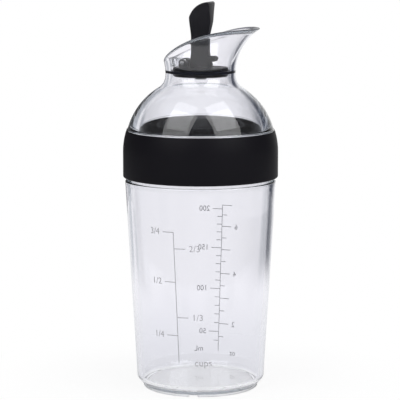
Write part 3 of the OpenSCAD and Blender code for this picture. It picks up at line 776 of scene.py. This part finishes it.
for vert in bm.verts:
    inside = vert.co.xy.length < BORE_R + 0.01 * MM and vert.co.z < LEDGE_Z - 0.1 * MM
    if inside and vert.co.z > band_low.z + 0.35 * MM:
        push_wall(vert, -ridge(vert.co, THREAD_Z + THREAD_LEAD / THREAD_STARTS / 2))
bmesh.ops.recalc_face_normals(bm, faces=bm.faces)
make_piece("collar_band_shell", bm, "lid", band_black, ["collar_band"])

# %% [markdown]
# The seals are turned too. The flat ring between dome and cup has rounded edges. The stopper's seal has
# a soft lip that presses on the neck's wall. Where rubber touches clear plastic, no air is left between
# them, and the round wall acts as a lens: the dark seal seems to fill the neck's whole width. So the
# lip is drawn a hair's breadth into the wall. The stopper's cap and the plate below it clamp the seal.

# %% Seals, stopper cap and retainer
ring_low, ring_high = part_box("lid_gasket")
bm = turned(rounded([
    (MOUTH_R, ring_low.z, 0.3 * MM), (ring_high.x, ring_low.z, 0.3 * MM),
    (ring_high.x, ring_high.z, 0.3 * MM), (MOUTH_R, ring_high.z, 0.3 * MM),
]))
make_piece("lid_gasket_ring", bm, "lid_seal", seal_rubber, ["lid_gasket"])

PEG_BORE = 2.55 * MM
seal_low, seal_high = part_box("stopper_gasket")
seal_h = seal_high.z - seal_low.z


def pressed_r(z):
    """Radius of the seal's lip at a height: the flaring bore's radius and a hair more."""
    return FLARE[0] - math.sqrt((FLARE_R + DOME_WALL) ** 2 - (z - FLARE[1]) ** 2) + 0.03 * MM


lip_rows = [seal_low.z + seal_h * k / 8 for k in range(1, 8)]
bm = turned(rounded([
    (PEG_BORE, seal_low.z, 0),
    (pressed_r(seal_low.z) - 0.3 * MM, seal_low.z, 0.15 * MM),
    *[(pressed_r(z), z, 0) for z in lip_rows],
    (pressed_r(seal_high.z) - 0.3 * MM, seal_high.z, 0.12 * MM),
    (PEG_BORE, seal_high.z, 0),
]))
make_piece("stopper_gasket_ring", bm, "stopper", seal_rubber, ["stopper_gasket"])

plate_low, plate_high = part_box("stopper_retainer")
bm = turned(rounded([
    (1.25 * MM, plate_low.z, 0), (plate_high.x - 0.65 * MM, plate_low.z, 0.3 * MM),
    (plate_high.x, plate_low.z + 0.65 * MM, 0.2 * MM), (plate_high.x, plate_high.z, 0.15 * MM),
    (1.25 * MM, plate_high.z, 0),
]))
make_piece("stopper_retainer_plate", bm, "stopper", lever_black, ["stopper_retainer"])

# %% [markdown]
# The cap is the disc one sees in the neck. Its top is very slightly dished, with a raised rim line. The
# hinge's knuckle stands at its back: a rounded block with a soft foot, extruded along the pin.

# %% Stopper cap with its knuckle
pin_low, pin_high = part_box("hinge_pin")
PIN = (pin_low + pin_high) / 2
KNUCKLE_R, KNUCKLE_HALF = 2.1 * MM, 3 * MM
CAP_R, CAP_T = 12.1 * MM, 1.3 * MM
CAP_Z = PIN.z - KNUCKLE_R
bm = turned(rounded([
    (PEG_BORE, CAP_Z - CAP_T, 0), (CAP_R, CAP_Z - CAP_T, 0.2 * MM), (CAP_R, CAP_Z, 0.5 * MM),
    (CAP_R - 1.4 * MM, CAP_Z, 0.1 * MM), (CAP_R - 1.6 * MM, CAP_Z - 0.2 * MM, 0.1 * MM),
    (PEG_BORE, CAP_Z - 0.2 * MM, 0),
]))
make_piece("stopper_cap_disc", bm, "stopper", cap_black, ["stopper_cap"])


def extruded(outline, half, bevel, segments=3):
    """A bmesh of an outline of (x, z) points, extruded to both sides along Y and with softened edges."""
    bm = bmesh.new()
    face = bm.faces.new([bm.verts.new((x, -half, z)) for x, z in outline])
    made = bmesh.ops.extrude_face_region(bm, geom=[face])
    moved = [g for g in made["geom"] if isinstance(g, bmesh.types.BMVert)]
    bmesh.ops.translate(bm, verts=moved, vec=(0, 2 * half, 0))
    bmesh.ops.recalc_face_normals(bm, faces=bm.faces)
    rims = [e for e in bm.edges if abs(abs(e.verts[0].co.y) - half) < 1e-9 and abs(e.verts[0].co.y - e.verts[1].co.y) < 1e-9]
    bmesh.ops.bevel(bm, geom=rims, offset=bevel, offset_type="OFFSET", segments=segments, profile=0.5,
                    affect="EDGES", material=-1, clamp_overlap=True)
    return bm


knuckle_outline = (
    [(PIN.x + KNUCKLE_R + 0.1 * MM, CAP_Z - 0.35 * MM)]
    + arc((PIN.x, PIN.z), KNUCKLE_R, 0, 180, 24)
    + [(PIN.x - KNUCKLE_R - 0.1 * MM, CAP_Z - 0.35 * MM)]
)
bm = extruded(knuckle_outline, KNUCKLE_HALF, 0.3 * MM)
make_piece("stopper_knuckle", bm, "stopper", lever_black, ["stopper_cap"])

# %% [markdown]
# The lever is a flat stem that widens into a thumb pad, with a sloped crown. A grid is laid over its
# side view, one half on each side of the middle plane, and moved into shape: across it follows the
# lever's back and front edges, and upward it follows the crown. The two halves are bridged along their
# borders and the joined edge is beveled round.

# %% Lever
LEVER_H = 28.48 * MM
WAIST, WAIST_LOW, WAIST_HIGH = 3.8 * MM, 7.6 * MM, 12 * MM
FOOT_FRONT, FOOT_BACK = 5.2 * MM, 4.5 * MM
PAD_FRONT, PAD_BACK, PAD_H = 5.1 * MM, 4.45 * MM, 20.8 * MM
LEVER_CROWN_R, LEVER_CROWN_X = 10.75 * MM, 5.6 * MM
LEVER_T, LEVER_FLARE_R, LEVER_FLARE_H = 4 * MM, 35 * MM, 12.6 * MM
NOSE_ROUND = 1.3 * MM
CROWN_Z = CAP_Z + LEVER_H - LEVER_CROWN_R
COLUMNS, ROWS = 18, 56


def between(height, stops):
    """Value at a height, from stops of (height, value), with soft turns between them."""
    if height <= stops[0][0]:
        return stops[0][1]
    for (low, a), (high, b) in zip(stops, stops[1:]):
        if height <= high:
            t = (height - low) / (high - low)
            return a + (b - a) * t * t * (3 - 2 * t) if a != b else a
    return stops[-1][1]


def lever_edge(height, foot, pad):
    """Distance of the lever's back or front edge from the axis at a height above the cap."""
    return between(height, [(0, foot), (WAIST_LOW, WAIST), (WAIST_HIGH, WAIST), (PAD_H, pad), (LEVER_H, pad)])


def lever_half(height):
    """Half thickness of the lever at a height above the cap."""
    rise = max(0, height - LEVER_FLARE_H)
    return LEVER_T / 2 + LEVER_FLARE_R - math.sqrt(LEVER_FLARE_R ** 2 - rise ** 2)


def crown_height(x):
    """Height of the lever's crown above the cap at a distance from the axis."""
    top = CROWN_Z + math.sqrt(max(0, LEVER_CROWN_R ** 2 - (x - LEVER_CROWN_X) ** 2)) - CAP_Z
    nose = x - (PAD_FRONT - NOSE_ROUND)
    if nose > 0:
        top = min(top, top - NOSE_ROUND + math.sqrt(max(0, NOSE_ROUND ** 2 - nose ** 2)))
    return top


bm = bmesh.new()
sheets = []
for side in (-1, 1):
    made = bmesh.ops.create_grid(bm, x_segments=COLUMNS, y_segments=ROWS, size=1)
    sheets.append(made["verts"])
    for vert in made["verts"]:
        u, v = (vert.co.x + 1) / 2, (vert.co.y + 1) / 2
        share = 0.5 - 0.5 * math.cos(math.pi * u)
        height = v * LEVER_H
        for _ in range(6):
            x = -lever_edge(height, FOOT_BACK, PAD_BACK) * (1 - share) + lever_edge(height, FOOT_FRONT, PAD_FRONT) * share
            height = v * crown_height(x)
        vert.co = (x, side * lever_half(height), CAP_Z + height)
borders = [e for e in bm.edges if e.is_boundary]
bmesh.ops.bridge_loops(bm, edges=borders)
bmesh.ops.recalc_face_normals(bm, faces=bm.faces)
rounding = [e for e in borders if e.is_valid]
bmesh.ops.bevel(bm, geom=rounding, offset=0.7 * MM, offset_type="OFFSET", segments=4, profile=0.5,
                affect="EDGES", material=-1, clamp_overlap=True)
make_piece("lever_blade", bm, "stopper", lever_black, ["lever"], sharp=50)

TOE_R, TOE_X, TOE_Z = 1.3 * MM, 6.3 * MM, 4 * MM
toe_outline = [(3 * MM, CAP_Z + TOE_Z - TOE_R)] + arc(
    (TOE_X, CAP_Z + TOE_Z), TOE_R, -90, 90, 16) + [(3 * MM, CAP_Z + TOE_Z + TOE_R)]
bm = extruded(toe_outline, LEVER_T / 2, 0.35 * MM)
make_piece("lever_toe", bm, "stopper", lever_black)

# %% [markdown]
# The pin is a short steel rod with rounded ends. It is turned about Z like everything else and then
# laid along Y. The screw under the stopper stays as the CAD made it, and so does the hinge bracket:
# both are small and only get their finish.

# %% Pin, screw and bracket
PIN_R = (pin_high.x - pin_low.x) / 2
PIN_HALF = pin_high.y
bm = turned(rounded([
    (0, -PIN_HALF, 0), (PIN_R, -PIN_HALF, 0.2 * MM), (PIN_R, PIN_HALF, 0.2 * MM), (0, PIN_HALF, 0),
]), steps=48)
bmesh.ops.rotate(bm, verts=bm.verts, cent=(0, 0, 0), matrix=Matrix.Rotation(math.pi / 2, 3, "X"))
bmesh.ops.translate(bm, verts=bm.verts, vec=PIN)
bmesh.ops.recalc_face_normals(bm, faces=bm.faces)
make_piece("hinge_pin_rod", bm, "lid", pin_steel, ["hinge_pin"])


def dress_node(name, material):
    """Gives a CAD node that stays a finish of its own."""
    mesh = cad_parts[name].data
    mesh.materials.clear()
    mesh.materials.append(material)
    print("dressed", name)


dress_node("retainer_screw", pin_steel)
dress_node("hinge_bracket", dome_clear)

# %% [markdown]
# The scales are printed on the cup's outside. Each mark is a thin bar and each number is a text object
# turned into a mesh; both start flat, in a sheet where x runs along the wall and y up it, and one
# helper wraps the sheet onto the cone. A volume's height comes from the shape of the inside, so the
# marks draw together towards the wide top, as they do on the real cup. The far scale is read from the
# other side, so the camera sees its numbers from behind.

# %% Wrapping ink onto the cup
INK = 0.06 * MM
OUTER_SLOPE = (CUP_TOP_R - CUP_BASE_R) / (SHOULDER_Z - WALL_Z)
ML_PER_CUP, ML_PER_OZ = 236.588, 29.5735


def wall_radius(z):
    return CUP_BASE_R + OUTER_SLOPE * (z - WALL_Z)


class Sheet:
    """Ink that is laid out flat and then wrapped round the cup. The sheet's own line runs from one
    direction at the foot to another at the top. Its marks follow a cone that starts at the zero height
    with a radius, and widens by a slope."""

    def __init__(self, low_direction, high_direction, zero, radius, slope):
        self.directions = low_direction, high_direction
        self.zero, self.radius, self.slope = zero, radius, slope
        self.bm = bmesh.new()

    def mark_height(self, ml):
        """Height of a volume's mark: the cone up to there holds that volume."""
        volume = ml * 1e-6
        top_radius = (3 * self.slope * volume / math.pi + self.radius ** 3) ** (1 / 3)
        return self.zero + (top_radius - self.radius) / self.slope

    def bar(self, left, right, low, high):
        """A rectangle of ink, cut across often enough to bend with the wall."""
        made = bmesh.ops.create_cube(self.bm, size=1)["verts"]
        size = Vector((right - left, high - low, INK))
        middle = Vector(((left + right) / 2, (low + high) / 2, INK / 2))
        bmesh.ops.scale(self.bm, vec=size, verts=made)
        bmesh.ops.translate(self.bm, vec=middle, verts=made)
        long_edges = [e for e in self.bm.edges if all(v in made for v in e.verts) and e.calc_length() > 1.2 * MM]
        if long_edges:
            cuts = int(max(e.calc_length() for e in long_edges) / MM)
            bmesh.ops.subdivide_edges(self.bm, edges=long_edges, cuts=min(cuts, 60), use_grid_fill=True)

    def mark(self, ml, length, line):
        """A level mark from the line towards one side."""
        y = self.mark_height(ml)
        self.bar(min(0, length), max(0, length), y - line / 2, y + line / 2)
        return y

    def words(self, text, x, y, size, align):
        """A generic number or unit, at a place in the sheet."""
        curve = bpy.data.curves.new("words", "FONT")
        curve.body = text
        curve.size = size
        curve.align_x = align
        curve.align_y = "CENTER"
        curve.extrude = INK / 2
        curve.resolution_u = 4
        holder = bpy.data.objects.new("words", curve)
        bpy.context.scene.collection.objects.link(holder)
        bpy.context.view_layer.update()
        mesh = bpy.data.meshes.new_from_object(holder)
        mesh.transform(Matrix.Translation((x, y, INK / 2)))
        self.bm.from_mesh(mesh)
        bpy.data.meshes.remove(mesh)
        bpy.data.objects.remove(holder)
        bpy.data.curves.remove(curve)

    def wrap(self):
        """Bends the sheet round the cone and gives the bmesh."""
        bmesh.ops.remove_doubles(self.bm, verts=self.bm.verts, dist=1e-7)
        low, high = self.directions
        for vert in self.bm.verts:
            x, y, z = vert.co
            radius = wall_radius(y) + z
            turn = math.radians(low + (high - low) * y / SHOULDER_Z) + x / wall_radius(y)
            vert.co = (radius * math.cos(turn), radius * math.sin(turn), y)
        bmesh.ops.recalc_face_normals(self.bm, faces=self.bm.faces)
        return self.bm


# %% Cup scale
FRONT_LINE = 0.33 * MM
FRONT_LABEL = 3.9 * MM
FRONT_MARK = 5.0 * MM
scale = Sheet(-93.1, -97.2, 2.0 * MM, 26.3 * MM, 0.05)
for text, cups, side in (("1/4", 1/4, -1), ("1/3", 1/3, 1), ("1/2", 1/2, -1), ("2/3", 2/3, 1), ("3/4", 3/4, -1)):
    y = scale.mark(ML_PER_CUP * cups, side * FRONT_MARK, FRONT_LINE)
    gap = 1.6 * MM
    scale.words(text, side * (FRONT_MARK + gap), y, FRONT_LABEL, "RIGHT" if side < 0 else "LEFT")
low_y = scale.mark_height(ML_PER_CUP / 8)
high_y = scale.mark_height(ML_PER_CUP * 3 / 4)
scale.bar(-FRONT_LINE / 2, FRONT_LINE / 2, low_y + 0.6 * MM, high_y + FRONT_LINE / 2)
scale.words("cups", 10.7 * MM, low_y + 0.6 * MM, 4.2 * MM, "CENTER")
make_piece("cup_scale_ink", scale.wrap(), "cup", front_ink, ["cup_scale_print"])

# %% Metric and ounce scale
BACK_LINE = 0.26 * MM
BACK_LABEL = 3.5 * MM
BACK_MARK, BACK_FINE = 4.9 * MM, 2.5 * MM
scale = Sheet(87.7, 85.4, -2.8 * MM, 27.0 * MM, 0.0406)
for ml in range(40, 201, 10):
    whole = ml % 50 == 0
    y = scale.mark(ml, BACK_MARK if whole else BACK_FINE, BACK_LINE)
    if whole:
        scale.words(str(ml), BACK_MARK + 1.3 * MM, y, BACK_LABEL, "LEFT")
for half_ounces in range(3, 14):
    whole = half_ounces % 2 == 0
    y = scale.mark(ML_PER_OZ * half_ounces / 2, -BACK_MARK if whole else -BACK_FINE, BACK_LINE)
    if half_ounces in (4, 8, 12):
        scale.words(str(half_ounces // 2), -BACK_MARK - 1.9 * MM, y, BACK_LABEL, "RIGHT")
low_y = scale.mark_height(0.97 * ML_PER_OZ)
high_y = scale.mark(205, -BACK_MARK, BACK_LINE)
scale.bar(-BACK_LINE / 2, BACK_LINE / 2, low_y, high_y + BACK_LINE / 2)
scale.words("mL", BACK_MARK + 2.5 * MM, low_y + 0.7 * MM, BACK_LABEL, "LEFT")
scale.words("oz", -BACK_MARK - 1.2 * MM, low_y - 0.6 * MM, BACK_LABEL, "RIGHT")
make_piece("metric_scale_ink", scale.wrap(), "cup", back_ink, ["metric_scale_print"])

# %% [markdown]

# %% Done
print("scene built")
